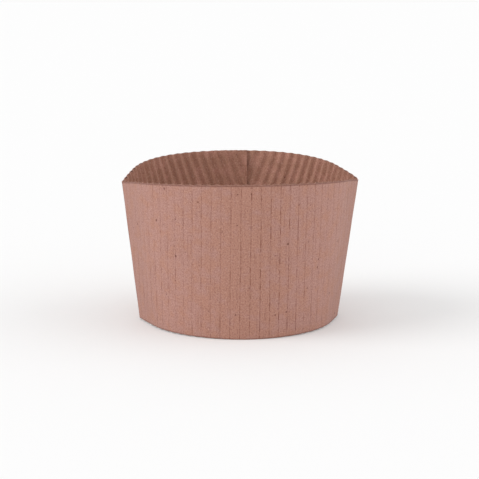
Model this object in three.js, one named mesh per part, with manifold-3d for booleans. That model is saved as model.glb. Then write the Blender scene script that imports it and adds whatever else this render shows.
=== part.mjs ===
import * as THREE from "three";
import Module from "manifold-3d";

// A coffee cup sleeve of single-face corrugated board, opened to its working shape.
// One arc-shaped blank is folded at two upright folds and glued to itself in a lap at the back.
// A smooth liner faces outwards and a fluted paper is glued to its inner side.
// Lengths are in millimetres and angles in degrees. +Z is up, the lower edge stands on Z = 0 round
// the origin, the folds are on the X axis, and the whole front panel faces -Y.

// The board
const LINER = 0.3; // the smooth outer paper
const FLUTED_PAPER = 0.2; // the wavy inner paper, measured through the board
const FLUTE_HEIGHT = 1; // of the wave itself
const FLUTE_PITCH = 3.5;
const FLUTE_SHIFT = 0.6; // from the front panel's middle to the nearest glue line
const GLUE_LINE = 0.5; // width over which each flute is glued to the liner

// The sleeve in its working shape
const GRIP_RADIUS = 33; // inside the fluted paper, at the lower edge
const WALL_LEAN = 6.5; // of the panels, from upright
const SIDE_HEIGHT = 51; // from the lower edge to the upper one, at the folds
const CROWN = 5; // by which the upper edge stands higher at the middle of a panel
const FRONT_FULLNESS = 2; // power of the crown's curve, higher for a steeper start at the folds
const BACK_FULLNESS = 3;
const FOLD_REACH = 21; // to each side of a fold, over which the board runs straight to it
const FOLD_TIP = 1.5; // to each side of a fold, over which its point is rounded
const FOLD_CRUSH_WIDTH = 1.3; // to each side of a fold, where the flutes are pressed down
const FOLD_CRUSH = 0.25; // share of the flute height that is left in a fold

// The glued lap at the middle of the back
const LAP = 12; // width of the overlap
const LAP_CRUSH = 0.5; // share of the flute height that is left in the outer ply
const LAP_RAMP = 24; // over which the outer ply climbs
const LAP_GAP = 0.6; // from the end of the climb to the inner ply's cut end
const GLUE_BITE = 0.15; // by which the outer ply's flutes sink into the inner ply's liner

// How finely the surfaces are cut up
const RAYS = 1600;
const LEVELS = 4;
const FLUTE_STEPS = 4; // in one wave, an even number
const CREST_ROUNDING = 0.05; // by which a wave's steps crowd round its crest
const LEAST_LEVEL = 0.02; // share of a column's height
const TIP = 0.4; // by which the cut ends stop short of a point

const radians = THREE.MathUtils.degToRad;
const clamp = THREE.MathUtils.clamp;
const BOARD = LINER + FLUTE_HEIGHT + FLUTED_PAPER;
const WALL_RADIUS = GRIP_RADIUS + BOARD;
const APEX_DEPTH = WALL_RADIUS / Math.tan(radians(WALL_LEAN)); // where the leaning walls would meet

// The outside of the liner at the lower edge, seen from above, anticlockwise from the middle of
// the back: two round panels that leave the round in straight lines and meet in the folds.
function outline() {
  return Array.from({ length: RAYS + 1 }, (_, i) => {
    const turn = 90 + (360 * i) / RAYS;
    const fromFold = Math.hypot(((turn + 90) % 180) - 90, FOLD_TIP);
    const offRound = Math.max(FOLD_REACH - fromFold, 0);
    const radius = WALL_RADIUS / Math.cos(radians(offRound));
    return new THREE.Vector2(radius, 0).rotateAround(new THREE.Vector2(), radians(turn));
  });
}

// The wall is a cone over that outline. On the flat blank its straight lines are rays from one
// point, the apex, and a ray's bearing is the angle from the front panel's middle.
const rays = outline().map((p) => new THREE.Vector3(p.x, p.y, APEX_DEPTH).normalize());
const bearings = [0];
for (let i = 1; i <= RAYS; i++) {
  bearings.push(bearings[i - 1] + rays[i - 1].angleTo(rays[i]));
}
const ALL_ROUND = bearings[RAYS];
const FOLD_BEARING = ALL_ROUND / 4;
const BACK_BEARING = ALL_ROUND / 2;

// The ray at a bearing and the wall's outward direction there.
function wallAt(bearing) {
  const turned = THREE.MathUtils.euclideanModulo(bearing + BACK_BEARING, ALL_ROUND);
  let low = 0;
  let high = RAYS;
  while (high - low > 1) {
    const middle = (low + high) >> 1;
    if (bearings[middle] > turned) high = middle;
    else low = middle;
  }
  const share = (turned - bearings[low]) / (bearings[high] - bearings[low]);
  const along = (i) => rays[(i + 1) % RAYS].clone().sub(rays[(i - 1 + RAYS) % RAYS]);
  const ray = rays[low].clone().lerp(rays[high], share).normalize();
  const outward = along(low).lerp(along(high), share).cross(ray).normalize();
  return { ray, outward };
}

// Distances from the apex, along a ray, to the lower edge and the upper edge.
const lowerReach = (bearing) => APEX_DEPTH / wallAt(bearing).ray.z;
function upperReach(bearing) {
  const panel = Math.round(bearing / BACK_BEARING);
  const fromMiddle = Math.abs(bearing - BACK_BEARING * panel) / FOLD_BEARING;
  const fullness = panel === 0 ? FRONT_FULLNESS : BACK_FULLNESS;
  const rise = CROWN * (1 - fromMiddle ** fullness);
  return (APEX_DEPTH + SIDE_HEIGHT + rise) / wallAt(bearing).ray.z;
}

// On the blank, x runs across the flutes and y along them, away from the apex.
// Where the line of one x meets an edge of the blank: its y, and the bearing of that point.
function crossing(x, reach) {
  let bearing = 0;
  for (let i = 0; i < 12; i++) bearing = Math.asin(x / reach(bearing));
  return x / Math.tan(bearing) || reach(0);
}
const yOnRay = (x, bearing) => Math.abs(x) / Math.tan(Math.abs(bearing));
const xOnRay = (bearing, reach) => reach(bearing) * Math.sin(bearing);

// The lap: bearings that belong to widths at half the sleeve's height.
const MIDDLE_REACH = APEX_DEPTH + SIDE_HEIGHT / 2;
const END_BEARING = BACK_BEARING + LAP / 2 / MIDDLE_REACH;
const RAMP_TOP = BACK_BEARING - (LAP / 2 + LAP_GAP) / MIDDLE_REACH;
const RAMP_FOOT = RAMP_TOP - LAP_RAMP / MIDDLE_REACH;
const LAP_LIFT = LINER + FLUTE_HEIGHT * LAP_CRUSH + FLUTED_PAPER - GLUE_BITE;
const climb = (bearing) => THREE.MathUtils.smoothstep(bearing, RAMP_FOOT, RAMP_TOP);

// The share of the flute height that is left at a point of the blank.
function fluteShare(bearing, reach) {
  const fromFold = Math.abs(Math.abs(bearing) - FOLD_BEARING) * reach;
  const open = THREE.MathUtils.smoothstep(fromFold, 0, FOLD_CRUSH_WIDTH);
  return (FOLD_CRUSH + (1 - FOLD_CRUSH) * open) * (1 - (1 - LAP_CRUSH) * climb(bearing));
}

// A point of the folded sleeve from its place on the blank. Depth is measured inwards from the
// liner's outside, and the part of it that is flute gives way where the flutes are pressed.
function place({ x, y, depth, rise, standing }) {
  const bearing = Math.atan2(x, y);
  const reach = Math.hypot(x, y);
  const { ray, outward } = wallAt(bearing);
  const pressed = rise * (1 - fluteShare(bearing, reach));
  const inwards = depth - pressed - LAP_LIFT * climb(bearing);
  const point = ray.clone().multiplyScalar(reach).addScaledVector(outward, -inwards);
  point.z -= APEX_DEPTH;
  if (standing) point.addScaledVector(ray, -point.z / ray.z);
  return point;
}

// The stations across the flutes at which the blank is cut up: the edges of each glue line, the
// steps of each wave, and where a fold or a cut end meets an edge. rise is the wave's height.
const END_X = xOnRay(END_BEARING, upperReach) - TIP;
function stations(from, to) {
  const list = [];
  const first = Math.floor((from - FLUTE_SHIFT) / FLUTE_PITCH);
  const last = Math.ceil((to - FLUTE_SHIFT) / FLUTE_PITCH);
  for (let flute = first; flute < last; flute++) {
    const start = FLUTE_SHIFT + flute * FLUTE_PITCH + GLUE_LINE / 2;
    for (let i = 0; i <= FLUTE_STEPS; i++) {
      const step = i / FLUTE_STEPS;
      const share = step + CREST_ROUNDING * Math.sin(2 * Math.PI * step);
      const x = start + (FLUTE_PITCH - GLUE_LINE) * share;
      const glued = i === 0 || i === FLUTE_STEPS;
      const rise = glued ? 0 : (FLUTE_HEIGHT * (1 - Math.cos(2 * Math.PI * share))) / 2;
      list.push({ x, rise, glued, lined: glued, endsGlueLine: i === 0 });
    }
  }
  const corners = [from, to];
  for (const side of [-1, 1]) {
    for (const edge of [lowerReach, upperReach]) corners.push(side * xOnRay(FOLD_BEARING, edge));
    corners.push(side * xOnRay(END_BEARING, lowerReach));
  }
  for (const x of corners) insertStation(list, x);
  return list.filter((s) => s.x >= from && s.x <= to);
}

// Adds a station at x without changing the wave's shape, or uses one that is almost there.
function insertStation(list, x) {
  const after = list.findIndex((s) => s.x > x);
  if (after < 1) return;
  const a = list[after - 1];
  const b = list[after];
  const near = Math.abs(a.x - x) < Math.abs(b.x - x) ? a : b;
  if (Math.abs(near.x - x) < 0.02) {
    near.x = x;
    near.lined = true;
    return;
  }
  const rise = THREE.MathUtils.mapLinear(x, a.x, b.x, a.rise, b.rise);
  const { endsGlueLine } = b;
  list.splice(after, 0, { x, rise, glued: endsGlueLine, lined: true, endsGlueLine });
}

// The heights, as y on the blank, at which a station's line is cut: evenly, or on the middle and
// both sides of the fold that the line crosses.
function levelsAt(x) {
  const onEnd = Math.abs(x) > xOnRay(END_BEARING, lowerReach);
  const low = onEnd ? yOnRay(x, END_BEARING) : crossing(x, lowerReach);
  const high = crossing(x, upperReach);
  const fold = yOnRay(x, FOLD_BEARING);
  const half = FOLD_CRUSH_WIDTH / Math.sin(FOLD_BEARING);
  const folded = fold + half > low && fold - half < high;
  return Array.from({ length: LEVELS + 1 }, (_, j) => {
    const onFold = (fold + half * (j - LEVELS / 2) - low) / (high - low);
    const share = folded && j > 0 && j < LEVELS
      ? clamp(onFold, j * LEAST_LEVEL, 1 - (LEVELS - j) * LEAST_LEVEL)
      : j / LEVELS;
    return { y: low + (high - low) * share, standing: j === 0 && !onEnd };
  });
}

// A stretch of the sleeve between two stations, as one closed mesh.
function stretch(from, to) {
  const points = [];
  const triangles = [];
  const columns = stations(from, to).map((station) => {
    const levels = levelsAt(station.x);
    const column = (depth, rise) =>
      levels.map((level) => {
        points.push(place({ x: station.x, ...level, depth, rise }));
        return points.length - 1;
      });
    const { rise, glued, endsGlueLine } = station;
    const joint = column(LINER + rise, rise); // the fluted paper's side towards the liner
    const inside = column(LINER + rise + FLUTED_PAPER, rise); // its inner side
    const outside = station.lined ? column(0, 0) : null;
    const lining = !station.lined ? null : glued ? joint : column(LINER, 0);
    return { endsGlueLine, outside, lining, joint, inside };
  });
  const quad = (a, b, c, d) => triangles.push(a, b, c, a, c, d);
  // Skins between two lines of points, the second to the right of the first. Each is split along
  // the diagonal nearer to the wall's rays, which are straight.
  const leansRight = from >= 0;
  const skinFacingOut = (a, b) => {
    for (let j = 0; j < LEVELS; j++) {
      if (leansRight) quad(a[j], b[j], b[j + 1], a[j + 1]);
      else quad(b[j], b[j + 1], a[j + 1], a[j]);
    }
  };
  const skinFacingIn = (a, b) => {
    for (let j = 0; j < LEVELS; j++) {
      if (leansRight) quad(a[j], a[j + 1], b[j + 1], b[j]);
      else quad(b[j], a[j], a[j + 1], b[j + 1]);
    }
  };
  // The cut edge of a paper between its outer lines a, b and its inner lines c, d.
  const cutEdge = (a, b, c, d) => {
    quad(c[0], d[0], b[0], a[0]);
    quad(a[LEVELS], b[LEVELS], d[LEVELS], c[LEVELS]);
  };
  for (let i = 1; i < columns.length; i++) {
    const [a, b] = [columns[i - 1], columns[i]];
    skinFacingIn(a.inside, b.inside);
    cutEdge(a.joint, b.joint, a.inside, b.inside);
    if (!b.endsGlueLine) skinFacingOut(a.joint, b.joint);
  }
  const lined = columns.filter((c) => c.lining);
  for (let i = 1; i < lined.length; i++) {
    const [a, b] = [lined[i - 1], lined[i]];
    skinFacingOut(a.outside, b.outside);
    cutEdge(a.outside, b.outside, a.lining, b.lining);
    if (!b.endsGlueLine) skinFacingIn(a.lining, b.lining);
  }
  const [first, last] = [columns[0], columns.at(-1)];
  for (let j = 0; j < LEVELS; j++) {
    const k = j + 1;
    quad(first.outside[j], first.outside[k], first.lining[k], first.lining[j]);
    quad(first.joint[j], first.joint[k], first.inside[k], first.inside[j]);
    quad(last.outside[j], last.lining[j], last.lining[k], last.outside[k]);
    quad(last.joint[j], last.inside[j], last.inside[k], last.joint[k]);
  }
  return { points, triangles };
}

const wasm = await Module();
wasm.setup();

function solidOf({ points, triangles }) {
  const vertProperties = new Float32Array(points.flatMap((p) => [p.x, p.y, p.z]));
  return new wasm.Manifold(
    new wasm.Mesh({ numProp: 3, vertProperties, triVerts: new Uint32Array(triangles) }),
  );
}

function geometryOf(solid) {
  const { vertProperties, triVerts } = solid.getMesh();
  const geometry = new THREE.BufferGeometry();
  geometry.setAttribute("position", new THREE.BufferAttribute(vertProperties, 3));
  geometry.setIndex(new THREE.BufferAttribute(triVerts, 1));
  geometry.computeVertexNormals();
  return geometry;
}

// The two halves of the blank meet at the front panel's middle, and the glue of the lap joins
// their far ends into the one closed ring that the sleeve is.
const left = solidOf(stretch(-END_X, 0));
const right = solidOf(stretch(0, END_X));

const kraftBoard = new THREE.MeshStandardMaterial({ color: 0xb5876f, roughness: 0.9, metalness: 0 });
const sleeve = new THREE.Mesh(geometryOf(left.add(right)), kraftBoard);
sleeve.name = "sleeve";

const group = new THREE.Group();
group.add(sleeve);

export default group;
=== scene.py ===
"""The looks of a corrugated coffee cup sleeve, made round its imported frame.

The sleeve is drawn as its two papers: a smooth liner outside and a fluted paper inside. Both are
worked out on the flat blank, in millimetres, and then wrapped as the real blank is. The sleeve's
lower edge stands on the floor round the origin, its folds lie on X and its whole front panel
faces -Y.
"""

import math

import bpy
import numpy as np
from mathutils import Matrix, Vector


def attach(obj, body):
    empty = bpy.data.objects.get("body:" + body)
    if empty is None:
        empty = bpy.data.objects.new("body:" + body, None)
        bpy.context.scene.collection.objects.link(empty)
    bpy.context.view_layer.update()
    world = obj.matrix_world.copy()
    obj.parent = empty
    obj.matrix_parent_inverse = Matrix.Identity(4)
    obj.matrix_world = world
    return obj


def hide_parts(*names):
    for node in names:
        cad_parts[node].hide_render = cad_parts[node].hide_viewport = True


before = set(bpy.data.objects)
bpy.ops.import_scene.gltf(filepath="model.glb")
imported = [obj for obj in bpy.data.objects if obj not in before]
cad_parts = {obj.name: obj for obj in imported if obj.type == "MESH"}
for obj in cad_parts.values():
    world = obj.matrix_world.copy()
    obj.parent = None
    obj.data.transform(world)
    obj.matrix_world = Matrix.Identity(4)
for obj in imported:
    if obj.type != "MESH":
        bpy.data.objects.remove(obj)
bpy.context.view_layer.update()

MM = 0.001  # metres in a millimetre

# The board, in millimetres
LINER = 0.3
FLUTED_PAPER = 0.2
FLUTE_HEIGHT = 1.0
FLUTE_PITCH = 3.5
FLUTE_SHIFT = 0.6  # from the front panel's middle to the nearest glue line
GLUE_SINK = 0.04  # by which the fluted paper sinks into the liner on a glue line
WASHBOARD = 0.05  # by which the liner is drawn in on each glue line
EDGE_RIPPLE = 0.16  # by which the cut upper edge dips at each glue line

# The sleeve in its working shape, in millimetres and degrees
GRIP_RADIUS = 33.0  # inside the fluted paper, at the lower edge
WALL_LEAN = 6.5
SIDE_HEIGHT = 51.0
CROWN = 5.0
FRONT_FULLNESS = 2.0  # power of the crown's curve, higher for a steeper start at the folds
BACK_FULLNESS = 3.0
BOARD = LINER + FLUTE_HEIGHT + FLUTED_PAPER
WALL_RADIUS = GRIP_RADIUS + BOARD
APEX_DEPTH = WALL_RADIUS / math.tan(math.radians(WALL_LEAN))

# Each fold: over how many degrees to each side the board runs straight to it from the round, and
# over how many its point is rounded. The right one is the softer, and it leans out towards the
# upper edge.
LEFT_FOLD = {"reach": 20.0, "tip": 0.54}
RIGHT_FOLD = {"reach": 22.0, "tip": 3.7}
RIGHT_FOLD_LEAN = 1.4  # extra stand-off at the upper edge, in millimetres
LOWER_EDGE_BOW = 0.6  # by which the cut lower edge rises from a panel's middle to the folds
FOLD_CRUSH_WIDTH = 1.3
FOLD_CRUSH = 0.25

# The glued lap at the middle of the back, in millimetres
LAP = 12.0
LAP_CRUSH = 0.5
LAP_RAMP = 24.0
LAP_GAP = 0.6
GLUE_BITE = 0.15
TIP = 0.4  # by which the fluted paper's cut ends stop short of a point

# How finely the papers are cut up
RAYS = 4800
LINER_STEP = 0.42
LINER_ROWS = 26
FOLD_STEP = 0.12
FOLD_FINE_WIDTH = 2.5
FLUTE_STEPS = 9
FLUTE_ROWS = 34
CROSSING_ROUNDS = 14
SHARP_ANGLE = 50  # from which an edge is shaded as a sharp one, in degrees


def smoothstep(value, low, high):
    """0 below low, 1 above high and a smooth rise between them."""
    share = np.clip((value - low) / (high - low), 0, 1)
    return share * share * (3 - 2 * share)


def off_round(from_fold, fold):
    """How far the board has turned off the round near a fold, from its reach to its point."""
    return np.clip(fold["reach"] - np.hypot(from_fold, fold["tip"]), 0, None)


def wall_table():
    """Unit rays from the apex round the wall, their bearings, and the rise towards the right fold.

    Bearings are angles on the flat blank, the front panel's middle at 0.
    """
    turn = np.linspace(90, 450, RAYS + 1)  # anticlockwise from the middle of the back
    from_fold = np.abs((turn + 90) % 180 - 90)
    on_right = turn >= 270
    off = np.where(on_right, off_round(from_fold, RIGHT_FOLD), off_round(from_fold, LEFT_FOLD))
    radius = WALL_RADIUS / np.cos(np.radians(off))
    right_rise = np.where(on_right, (off / RIGHT_FOLD["reach"]) ** 2, 0)
    angle = np.radians(turn)
    depth = np.full(RAYS + 1, APEX_DEPTH)
    rays = np.stack([radius * np.cos(angle), radius * np.sin(angle), depth], 1)
    rays /= np.linalg.norm(rays, axis=1)[:, None]
    steps = np.linalg.norm(np.diff(rays, axis=0), axis=1)
    bearings = np.concatenate([[0], np.cumsum(steps)])
    return rays, bearings - bearings[RAYS // 2], right_rise


WALL_RAYS, WALL_BEARINGS, RIGHT_RISE = wall_table()
FOLD_BEARINGS = WALL_BEARINGS[RAYS // 4], WALL_BEARINGS[3 * RAYS // 4]
ALL_ROUND = WALL_BEARINGS[-1] - WALL_BEARINGS[0]
BACK_BEARING = WALL_BEARINGS[-1]


def wall_outward():
    """The wall's outward direction at each ray of the table."""
    before = np.roll(WALL_RAYS[:-1], 1, axis=0)
    after = np.roll(WALL_RAYS[:-1], -1, axis=0)
    outward = np.cross(after - before, WALL_RAYS[:-1])
    outward /= np.linalg.norm(outward, axis=1)[:, None]
    return np.concatenate([outward, outward[:1]])


WALL_OUTWARD = wall_outward()


def unit(vectors):
    return vectors / np.linalg.norm(vectors, axis=-1)[..., None]


def wall_at(bearing):
    """The ray and the outward direction at bearings, which may pass the back's middle."""
    turned = (bearing - WALL_BEARINGS[0]) % ALL_ROUND + WALL_BEARINGS[0]
    ray = [np.interp(turned, WALL_BEARINGS, WALL_RAYS[:, i]) for i in range(3)]
    outward = [np.interp(turned, WALL_BEARINGS, WALL_OUTWARD[:, i]) for i in range(3)]
    return unit(np.stack(ray, -1)), unit(np.stack(outward, -1))


def from_panel_middle(bearing):
    """How far bearings are from the middle of their panel, as a share of the way to a fold."""
    return np.abs(bearing / BACK_BEARING - np.round(bearing / BACK_BEARING)) * 2


def lower_height(bearing):
    """Height of the lower edge, which stands on the floor in the middle of each panel."""
    return LOWER_EDGE_BOW * np.sin(from_panel_middle(bearing) * math.pi / 2)


def upper_height(bearing):
    """Height of the upper edge, an arc on each panel."""
    in_front = np.round(bearing / BACK_BEARING) == 0
    fullness = np.where(in_front, FRONT_FULLNESS, BACK_FULLNESS)
    return SIDE_HEIGHT + CROWN * (1 - from_panel_middle(bearing) ** fullness)


def lower_reach(bearing):
    """Distance from the apex, along a ray, to the lower edge."""
    return (APEX_DEPTH + lower_height(bearing)) / wall_at(bearing)[0][..., 2]


def upper_reach(bearing):
    """Distance from the apex, along a ray, to the upper edge."""
    return (APEX_DEPTH + upper_height(bearing)) / wall_at(bearing)[0][..., 2]


BLANK_LOW = float(lower_reach(np.array(0.0)))  # where the blank's heights are counted from
MIDDLE_REACH = APEX_DEPTH + SIDE_HEIGHT / 2
END_BEARING = BACK_BEARING + LAP / 2 / MIDDLE_REACH
RAMP_TOP = BACK_BEARING - (LAP / 2 + LAP_GAP) / MIDDLE_REACH
RAMP_FOOT = RAMP_TOP - LAP_RAMP / MIDDLE_REACH
LAP_LIFT = LINER + FLUTE_HEIGHT * LAP_CRUSH + FLUTED_PAPER - GLUE_BITE


def distance_from_fold(bearing, reach):
    """How far a point of the blank is from the nearer fold."""
    return np.minimum(*(np.abs(bearing - fold) for fold in FOLD_BEARINGS)) * reach


def flute_share(bearing, reach):
    """The share of the flute height that is left at a point of the blank."""
    open_share = smoothstep(distance_from_fold(bearing, reach), 0, FOLD_CRUSH_WIDTH)
    in_lap = smoothstep(bearing, RAMP_FOOT, RAMP_TOP)
    return (FOLD_CRUSH + (1 - FOLD_CRUSH) * open_share) * (1 - (1 - LAP_CRUSH) * in_lap)


def glue_line_pull(x):
    """1 on a glue line of the blank, 0 midway between two."""
    return (1 + np.cos(2 * np.pi * (x - FLUTE_SHIFT) / FLUTE_PITCH)) / 2


def place(x, y, depth, rise):
    """Points of the sleeve, in millimetres, from their places on the blank.

    Depth is measured inwards from the liner's outside, and rise is the part of it that is flute.
    """
    bearing = np.arctan2(x, y)
    reach = np.hypot(x, y)
    ray, outward = wall_at(bearing)
    share = flute_share(bearing, reach)
    lift = LAP_LIFT * smoothstep(bearing, RAMP_FOOT, RAMP_TOP)
    height_share = (reach * ray[..., 2] - APEX_DEPTH) / SIDE_HEIGHT
    lift += RIGHT_FOLD_LEAN * height_share * np.interp(bearing, WALL_BEARINGS, RIGHT_RISE)
    inwards = depth + WASHBOARD * glue_line_pull(x) - rise * (1 - share) - lift
    points = ray * reach[..., None] - outward * inwards[..., None]
    points[..., 2] -= APEX_DEPTH
    return points


def cut_square(edge, height):
    """Slides points of a cut edge along the wall to the given heights."""
    ray = unit(edge + [0, 0, APEX_DEPTH])
    return edge + ray * ((height - edge[..., 2]) / ray[..., 2])[..., None]


def distances_to_edges(x, y):
    """How far points of the blank are from its upper edge, its lower edge and the nearer fold."""
    bearing = np.arctan2(x, y)
    reach = np.hypot(x, y)
    from_upper = upper_reach(bearing) - reach
    from_lower = reach - lower_reach(bearing)
    return np.stack([from_upper, from_lower, distance_from_fold(bearing, reach)], -1)


def paper_sheet(name, outer, inner, blank_outer, blank_inner, materials):
    """A closed sheet between two grids of points, with its cut edges in the second material.

    Every vertex keeps its place on the blank in the attribute blank, in millimetres: across the
    flutes, along them from the lower edge, and depth. The attribute edges holds its distances to
    the upper edge, the lower edge and the nearer fold.
    """
    rows, columns = outer.shape[:2]
    points = np.concatenate([outer.reshape(-1, 3), inner.reshape(-1, 3)]) * MM
    blank = np.concatenate([blank_outer.reshape(-1, 3), blank_inner.reshape(-1, 3)])
    edges = distances_to_edges(blank[:, 0], blank[:, 1] + BLANK_LOW)
    index = np.arange(rows * columns).reshape(rows, columns)
    behind = index + rows * columns
    corners = index[:-1, :-1], index[:-1, 1:], index[1:, 1:], index[1:, :-1]
    skin = np.stack(corners, -1).reshape(-1, 4)
    lining = (skin + rows * columns)[:, ::-1]

    def rim(front, back):
        return np.stack([front[1:], front[:-1], back[:-1], back[1:]], -1)

    rims = np.concatenate([
        rim(index[0], behind[0]),
        rim(index[-1, ::-1], behind[-1, ::-1]),
        rim(index[::-1, 0], behind[::-1, 0]),
        rim(index[:, -1], behind[:, -1]),
    ])
    faces = np.concatenate([skin, lining, rims])
    mesh = bpy.data.meshes.new(name)
    mesh.from_pydata(points.tolist(), [], faces.tolist())
    for key, values in (("blank", blank), ("edges", edges)):
        attribute = mesh.attributes.new(key, "FLOAT_VECTOR", "POINT")
        attribute.data.foreach_set("vector", values.ravel())
    for material in materials:
        mesh.materials.append(material)
    on_rim = np.zeros(len(faces), dtype=np.int32)
    on_rim[len(skin) * 2 :] = 1
    mesh.polygons.foreach_set("material_index", on_rim)
    mesh.polygons.foreach_set("use_smooth", np.ones(len(faces), dtype=bool))
    mesh.set_sharp_from_angle(angle=math.radians(SHARP_ANGLE))
    mesh.update()
    piece = bpy.data.objects.new(name, mesh)
    bpy.context.collection.objects.link(piece)
    return piece


def liner_bearings():
    """Bearings of the liner's mesh lines, closer together at the folds."""
    count = int(2 * END_BEARING * MIDDLE_REACH / LINER_STEP)
    even = np.linspace(-END_BEARING, END_BEARING, count)
    near = FOLD_FINE_WIDTH / MIDDLE_REACH
    fine = int(2 * FOLD_FINE_WIDTH / FOLD_STEP)
    for fold in FOLD_BEARINGS:
        even = even[np.abs(even - fold) > near]
        even = np.concatenate([even, np.linspace(fold - near, fold + near, fine)])
    return np.sort(even)


def make_liner(materials):
    """The smooth outer paper, cut along straight rays of the wall."""
    bearing = liner_bearings()
    share = np.linspace(0, 1, LINER_ROWS + 1)[:, None]
    dip = EDGE_RIPPLE * glue_line_pull(upper_reach(bearing) * np.sin(bearing))
    reach = lower_reach(bearing) * (1 - share) + (upper_reach(bearing) - dip) * share
    x = reach * np.sin(bearing)
    y = reach * np.cos(bearing)
    sides = []
    blanks = []
    for depth in (0.0, LINER):
        points = place(x, y, np.full_like(x, depth), np.zeros_like(x))
        points[0] = cut_square(points[0], lower_height(bearing))
        sides.append(points)
        blanks.append(np.stack([x, y - BLANK_LOW, np.full_like(x, depth)], -1))
    return paper_sheet("liner", *sides, *blanks, materials)


def crossing(x, reach):
    """The y at which the lines of given x meet an edge of the blank."""
    bearing = np.zeros_like(x)
    for _ in range(CROSSING_ROUNDS):
        bearing = np.arcsin(x / reach(bearing))
    return reach(bearing) * np.cos(bearing)


def make_flutes(materials):
    """The fluted inner paper, cut along its flutes."""
    end_x = float(upper_reach(np.array(END_BEARING)) * math.sin(END_BEARING)) - TIP
    step = FLUTE_PITCH / FLUTE_STEPS
    first = math.ceil((-end_x - FLUTE_SHIFT) / step)
    last = math.floor((end_x - FLUTE_SHIFT) / step)
    x = FLUTE_SHIFT + step * np.arange(first, last + 1)
    end_low = float(lower_reach(np.array(END_BEARING)) * math.sin(END_BEARING))
    on_end = np.abs(x) > end_low
    low = crossing(np.where(on_end, 0, x), lower_reach)
    low = np.where(on_end, np.abs(x) / math.tan(END_BEARING), low)
    high = crossing(x, upper_reach) - EDGE_RIPPLE * glue_line_pull(x)
    share = np.linspace(0, 1, FLUTE_ROWS + 1)[:, None]
    y = low * (1 - share) + high * share
    x = np.broadcast_to(x, y.shape)
    rise = FLUTE_HEIGHT * (1 - glue_line_pull(x))
    sides = []
    blanks = []
    for through in (0.0, FLUTED_PAPER):
        depth = LINER - GLUE_SINK + rise + through
        points = place(x, y, depth, rise)
        squared = cut_square(points[0], lower_height(np.arctan2(x[0], y[0])))
        points[0] = np.where(on_end[:, None], points[0], squared)
        sides.append(points)
        blanks.append(np.stack([x, y - BLANK_LOW, depth], -1))
    return paper_sheet("fluted_paper", *sides, *blanks, materials)


class Nodes:
    """A short way to write the nodes of one new material or world."""

    def __init__(self, name, kind=bpy.data.materials):
        self.owner = kind.new(name)
        self.owner.use_nodes = True
        self.tree = self.owner.node_tree
        self.tree.nodes.clear()

    def add(self, kind, inputs=None, **settings):
        node = self.tree.nodes.new("ShaderNode" + kind)
        for key, value in settings.items():
            setattr(node, key, value)
        for key, value in (inputs or {}).items():
            self.put(node.inputs[key], value)
        return node

    def put(self, socket, value):
        if isinstance(value, bpy.types.NodeSocket):
            self.tree.links.new(value, socket)
        else:
            socket.default_value = value

    def math(self, operation, *values):
        node = self.add("Math", operation=operation)
        for socket, value in zip(node.inputs, values):
            self.put(socket, value)
        return node.outputs[0]

    def ramp(self, value, low, high, to_low=0.0, to_high=1.0):
        """value moved smoothly from low..high to to_low..to_high, and held outside it."""
        keys = "Value", "From Min", "From Max", "To Min", "To Max"
        inputs = dict(zip(keys, (value, low, high, to_low, to_high)))
        return self.add("MapRange", inputs, interpolation_type="SMOOTHSTEP").outputs[0]

    def noise(self, vector, scale, detail=2.0, roughness=0.5):
        inputs = {"Vector": vector, "Scale": scale, "Detail": detail, "Roughness": roughness}
        return self.add("TexNoise", inputs).outputs["Fac"]

    def scaled(self, vector, factors, offset=(0, 0, 0)):
        """vector stretched by factors, and moved by an offset that keeps two noises apart."""
        node = self.add("Mapping", {"Vector": vector, "Scale": factors, "Location": offset})
        return node.outputs[0]

    def bell(self, value, middle, width):
        """1 where value is at the middle, falling to nothing over the width to each side."""
        away = self.math("DIVIDE", self.math("SUBTRACT", value, middle), width)
        squared = self.math("MULTIPLY", away, away)
        return self.math("POWER", math.e, self.math("MULTIPLY", squared, -1.0))

    def mix(self, share, first, second):
        """A colour between two. Inputs 6 and 7 and output 2 are the Mix node's colour sockets."""
        inputs = {"Factor": share, 6: first, 7: second}
        return self.add("Mix", inputs, data_type="RGBA").outputs[2]


def srgb(red, green, blue):
    """A colour written as a screen shows it, 0 to 255, in Blender's linear numbers."""
    channels = []
    for value in (red, green, blue):
        share = value / 255
        channels.append(share / 12.92 if share <= 0.04045 else ((share + 0.055) / 1.055) ** 2.4)
    return (*channels, 1.0)


KRAFT_PINK = srgb(183, 139, 128)
KRAFT_TAN = srgb(183, 135, 118)
KRAFT_DARK = srgb(142, 94, 80)
GLUE_BROWN = srgb(124, 74, 58)
FLECK = srgb(104, 60, 50)
PALE_FIBRE = srgb(206, 166, 150)
FLUTE_BROWN = srgb(168, 124, 104)
# The cut edge's fibre, drawn darker as painted shade from its open flute cells
CUT_FIBRE_AND_SHADE = srgb(172, 128, 112)
# Painted shade: the brown drawn along the cut edges and folds
PAINTED_EDGE_SHADE = srgb(116, 76, 64)  # where the paper was cut or folded

# Bands of painted shade along the cut edges and folds, the last one faint and wide beside the
# folds:
# the axis of the attribute edges that they are measured on, how far each one is whole and how far
# it reaches, in millimetres, and its strength
PAINTED_SHADE_BANDS = (
    ("X", 0.3, 0.75, 0.7),
    ("Y", 0.22, 0.55, 0.5),
    ("Z", 0.3, 0.9, 0.5),
    ("Z", 8.0, 24.0, 0.13),
)

# Painted light: the front panel is drawn warmer in its middle, its sides left pinker as the
# lights' sheen casts them: where, how far to each side, and how much
LIGHT_CAST_MIDDLE = -2.0
LIGHT_CAST_WIDTH = 12.0
LIGHT_CAST_STRENGTH = 0.16

# Glue lines: to each side of a line, how far it is whole and how far it reaches, how far it
# wanders, and where on the front panel the lines are strongest, all in millimetres
LINE_CORE = 0.05
LINE_REACH = 0.26
LINE_WANDER = 0.06
LINES_MIDDLE = 9.0
LINES_WIDTH = 24.0
LINE_STRENGTH = 0.92
LINE_STEP = 13.7  # from one line's dashes to the next one's, in the noise that breaks them

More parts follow.
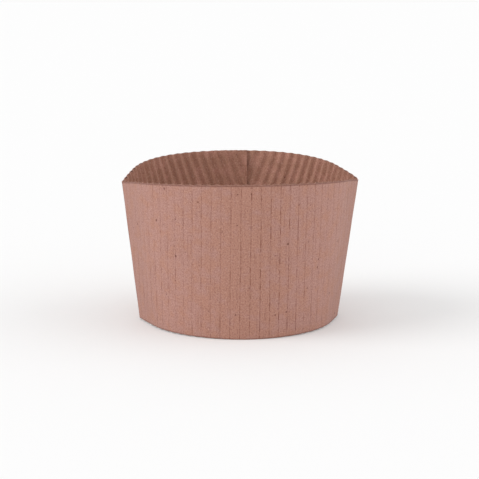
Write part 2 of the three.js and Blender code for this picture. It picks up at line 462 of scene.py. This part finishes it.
# Flecks: their largest size and spacing, in millimetres, and how ragged they are
LINER_FLECKS = {"size": 0.55, "spread": 4.6, "seed": 4.0}
FLUTE_FLECKS = {"size": 0.3, "spread": 3.0, "seed": 11.0}
RAGGED = 0.6

# The papers' finish
PAPER_ROUGHNESS = 0.88
PAPER_GLOSS = 0.25
PAPER_SHEEN = 0.08
LINER_RELIEF = 0.06  # millimetres
FLUTE_RELIEF = 0.05
CUT_RELIEF = 0.1


def kraft_colour(n, blank, base):
    """Kraft paper's colour over its base: blotches, a painted light cast warming the front's
    middle, streaks along the flutes and a fine grain.
    """
    blotch = n.noise(n.scaled(blank, (1, 1, 1), (31, 7, 0)), 0.22, 3.0, 0.6)
    across = n.add("SeparateXYZ", {"Vector": blank}).outputs["X"]
    # Painted light: the front panel's middle is drawn warmer and its sides pinker, as the lights
    # cast them.
    painted_warm_cast = n.math("MULTIPLY", n.bell(across, LIGHT_CAST_MIDDLE, LIGHT_CAST_WIDTH), LIGHT_CAST_STRENGTH)
    blotch = n.math("ADD", blotch, painted_warm_cast)
    colour = n.mix(n.ramp(blotch, 0.42, 0.66), base, KRAFT_TAN)
    streak = n.noise(n.scaled(blank, (1, 0.05, 1), (3, 50, 0)), 1.6, 3.0, 0.6)
    colour = n.mix(n.ramp(streak, 0.48, 0.75, 0.0, 0.4), colour, KRAFT_DARK)
    grain = n.noise(n.scaled(blank, (1, 0.75, 1)), 2.3, 3.0, 0.7)
    colour = n.mix(n.ramp(grain, 0.45, 0.68, 0.0, 0.72), colour, KRAFT_DARK)
    pale = n.noise(n.scaled(blank, (1, 0.7, 1), (90, 20, 0)), 2.1, 3.0, 0.7)
    return n.mix(n.ramp(pale, 0.5, 0.72, 0.0, 0.65), colour, PALE_FIBRE), grain


def paint_edge_shade(n, colour):
    """Painted shade: the paper is drawn a little darker along its cut edges and folds, and faintly
    beside the folds.
    """
    edges = n.add("Attribute", attribute_name="edges").outputs["Vector"]
    apart = n.add("SeparateXYZ", {"Vector": edges})
    for side, near, far, strength in PAINTED_SHADE_BANDS:
        share = n.ramp(apart.outputs[side], near, far, strength, 0.0)
        colour = n.mix(share, colour, PAINTED_EDGE_SHADE)
    return colour


def glue_lines(n, blank):
    """The broken dark lines that show through the liner where the flutes are glued.

    Gives the dashes as they are seen, and the whole lines.
    """
    axes = n.add("SeparateXYZ", {"Vector": blank})
    x, y = axes.outputs["X"], axes.outputs["Y"]
    wander = n.noise(n.scaled(blank, (0.3, 0.06, 0), (5, 5, 0)), 1.0)
    shifted = n.math("ADD", x, n.ramp(wander, 0.3, 0.7, -LINE_WANDER, LINE_WANDER))
    flutes = n.math("DIVIDE", n.math("SUBTRACT", shifted, FLUTE_SHIFT), FLUTE_PITCH)
    number = n.math("ROUND", flutes)
    off_line = n.math("ABSOLUTE", n.math("SUBTRACT", flutes, number))
    distance = n.math("MULTIPLY", off_line, FLUTE_PITCH)
    line = n.ramp(distance, LINE_CORE, LINE_REACH, 1.0, 0.0)
    own = n.add("CombineXYZ", {"X": n.math("MULTIPLY", number, LINE_STEP), "Y": y})
    dashes = n.noise(n.scaled(own.outputs[0], (1, 0.3, 1)), 1.0, 3.0, 0.7)
    broken = n.ramp(dashes, 0.42, 0.62, 0.22, 1.0)
    patches = n.noise(n.scaled(blank, (0.05, 0.03, 0), (2, 9, 0)), 1.0)
    patchy = n.ramp(patches, 0.4, 0.62, 0.4, 0.75)
    strength = n.math("MAXIMUM", n.bell(x, LINES_MIDDLE, LINES_WIDTH), patchy)
    return n.math("MULTIPLY", n.math("MULTIPLY", line, broken), strength), line


def flecks(n, blank, size, spread, seed):
    """Small specks of bark, about one to each square centimetre."""
    flat = n.scaled(blank, (1, 0.8, 0), (seed, seed, 0))
    cells = n.add("TexVoronoi", {"Vector": flat, "Scale": 1 / spread}, voronoi_dimensions="2D")
    chosen = n.add("SeparateColor", {"Color": cells.outputs["Color"]})
    kept = n.ramp(chosen.outputs[0], 0.7, 1.0, 0.0, 1.0)
    radius = n.ramp(chosen.outputs[1], 0.0, 1.0, size * 0.5 / spread, size / spread)
    ragged = n.math("MULTIPLY", n.noise(blank, 4.0), size * RAGGED / spread)
    evened = n.math("SUBTRACT", cells.outputs["Distance"], size * RAGGED / 2 / spread)
    away = n.math("ADD", evened, ragged)
    inside = n.ramp(away, n.math("MULTIPLY", radius, 0.4), radius, 1.0, 0.0)
    return n.math("MULTIPLY", inside, kept)


def surface(n, colour, height, relief):
    """Ends a material: matte fibrous paper whose height is felt to the given relief."""
    bump = n.add("Bump", {"Strength": 1.0, "Distance": relief * MM, "Height": height})
    shader = n.add("BsdfPrincipled", {
        "Base Color": colour,
        "Roughness": PAPER_ROUGHNESS,
        "Normal": bump.outputs[0],
        "Specular IOR Level": PAPER_GLOSS,
        "Sheen Weight": PAPER_SHEEN,
    })
    n.put(n.add("OutputMaterial").inputs["Surface"], shader.outputs[0])
    return n.owner


def liner_material():
    """The outer paper, with its glue lines, bark flecks and painted shade along its cut edges and
    folds.
    """
    n = Nodes("kraft_liner")
    blank = n.add("Attribute", attribute_name="blank").outputs["Vector"]
    colour, grain = kraft_colour(n, blank, KRAFT_PINK)
    lines, groove = glue_lines(n, blank)
    colour = n.mix(n.math("MULTIPLY", lines, LINE_STRENGTH), colour, GLUE_BROWN)
    specks = n.math("MULTIPLY", flecks(n, blank, **LINER_FLECKS), 0.9)
    # Painted shade along the cut edges and folds goes over the colour here.
    colour = paint_edge_shade(n, n.mix(specks, colour, FLECK))
    height = n.math("SUBTRACT", grain, n.math("MULTIPLY", groove, 0.5))
    return surface(n, colour, height, LINER_RELIEF)


def flute_material():
    """The inner paper, with finer flecks."""
    n = Nodes("kraft_flutes")
    blank = n.add("Attribute", attribute_name="blank").outputs["Vector"]
    colour, grain = kraft_colour(n, blank, FLUTE_BROWN)
    specks = n.math("MULTIPLY", flecks(n, blank, **FLUTE_FLECKS), 0.7)
    return surface(n, n.mix(specks, colour, FLECK), grain, FLUTE_RELIEF)


def cut_material():
    """The torn fibres of a cut edge, in a colour drawn darker as painted shade from the open flute
    cells.
    """
    n = Nodes("kraft_cut_edge")
    blank = n.add("Attribute", attribute_name="blank").outputs["Vector"]
    fibres = n.noise(n.scaled(blank, (1, 1, 1)), 6.0, 4.0, 0.7)
    colour = n.mix(n.ramp(fibres, 0.4, 0.65), CUT_FIBRE_AND_SHADE, KRAFT_DARK)
    return surface(n, colour, fibres, CUT_RELIEF)


def make_sleeve():
    """Both papers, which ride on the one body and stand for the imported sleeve."""
    cut = cut_material()
    pieces = make_liner([liner_material(), cut]), make_flutes([flute_material(), cut])
    for piece in pieces:
        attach(piece, "root")
        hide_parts("sleeve")


WHITE = (1, 1, 1, 1)
FLOOR_PAINT = (0.78, 0.78, 0.78, 1)
FLOOR_GLOW = 0.1  # light that is only seen, so that the lit floor is as white as the world
ROOM_LIGHT = 0.85
FLOOR_SIZE = 6  # metres


def seen_rays(n):
    """1 on rays by which the background is seen, straight or in gloss and glass."""
    rays = n.add("LightPath").outputs
    seen = n.math("MAXIMUM", rays["Is Camera Ray"], rays["Is Glossy Ray"])
    return n.math("MAXIMUM", seen, rays["Is Transmission Ray"])


def make_floor():
    """A white floor that shows white where nothing shades it."""
    bpy.ops.mesh.primitive_plane_add(size=FLOOR_SIZE, location=(0, 0, 0))
    floor = bpy.context.object
    floor.name = "floor"
    n = Nodes("white_floor")
    paint = n.add("BsdfDiffuse", {"Color": FLOOR_PAINT})
    strength = n.math("MULTIPLY", seen_rays(n), FLOOR_GLOW)
    glow = n.add("Emission", {"Color": WHITE, "Strength": strength})
    both = n.add("AddShader")
    n.put(both.inputs[0], paint.outputs[0])
    n.put(both.inputs[1], glow.outputs[0])
    n.put(n.add("OutputMaterial").inputs["Surface"], both.outputs[0])
    floor.data.materials.append(n.owner)


def make_world():
    """A plain bright room that is seen as white."""
    n = Nodes("studio", bpy.data.worlds)
    room = n.add("Background", {"Color": WHITE, "Strength": ROOM_LIGHT})
    white = n.add("Background", {"Color": WHITE, "Strength": 1.0})
    both = n.add("MixShader")
    n.put(both.inputs[0], seen_rays(n))
    n.put(both.inputs[1], room.outputs[0])
    n.put(both.inputs[2], white.outputs[0])
    n.put(n.add("OutputWorld").inputs["Surface"], both.outputs[0])
    bpy.context.scene.world = n.owner


def make_lamp(name, azimuth, elevation, softness, strength):
    """A distant soft lamp. Azimuth 0 is behind the camera and -90 to its left, in degrees."""
    lamp = bpy.data.lights.new(name, "SUN")
    lamp.angle = math.radians(softness)
    lamp.energy = strength
    holder = bpy.data.objects.new(name, lamp)
    holder.rotation_euler = (math.radians(90 - elevation), 0, math.radians(azimuth))
    bpy.context.collection.objects.link(holder)


# The camera, fitted to the photograph: millimetres and degrees, in an upright frame that faces it
PHOTO_SIZE = 479  # pixels
FOCAL_LENGTH = 2031.8  # pixels
CAMERA_AT = Vector((0.0, -728.1, 213.7))
CAMERA_PITCH = 11.07  # downwards
CAMERA_ROLL = 0.14
SLEEVE_AT = Vector((0.0, 0.0, 42.1))  # the sleeve's place in that frame
SLEEVE_TURN = 5.0  # of the sleeve in that frame
SENSOR = 36.0
NEAREST_SEEN = 0.01  # metres


def make_camera():
    """The photograph's camera, brought into the sleeve's frame."""
    turn_back = Matrix.Rotation(math.radians(-SLEEVE_TURN), 4, "Z")
    pitched = Matrix.Rotation(math.radians(90 - CAMERA_PITCH), 4, "X")
    rolled = Matrix.Rotation(math.radians(CAMERA_ROLL), 4, "Z")
    move = Matrix.Translation((CAMERA_AT - SLEEVE_AT) * MM)
    lens = bpy.data.cameras.new("camera")
    lens.sensor_fit = "HORIZONTAL"
    lens.sensor_width = SENSOR
    lens.lens = FOCAL_LENGTH * SENSOR / PHOTO_SIZE
    lens.clip_start = NEAREST_SEEN
    camera = bpy.data.objects.new("camera", lens)
    camera.matrix_world = turn_back @ move @ pitched @ rolled
    bpy.context.collection.objects.link(camera)
    bpy.context.scene.camera = camera


make_camera()
make_sleeve()
make_floor()
make_world()
make_lamp("key", azimuth=-80, elevation=35, softness=40, strength=1.1)
make_lamp("fill", azimuth=80, elevation=30, softness=60, strength=0.52)

bpy.context.scene.view_settings.view_transform = "Standard"
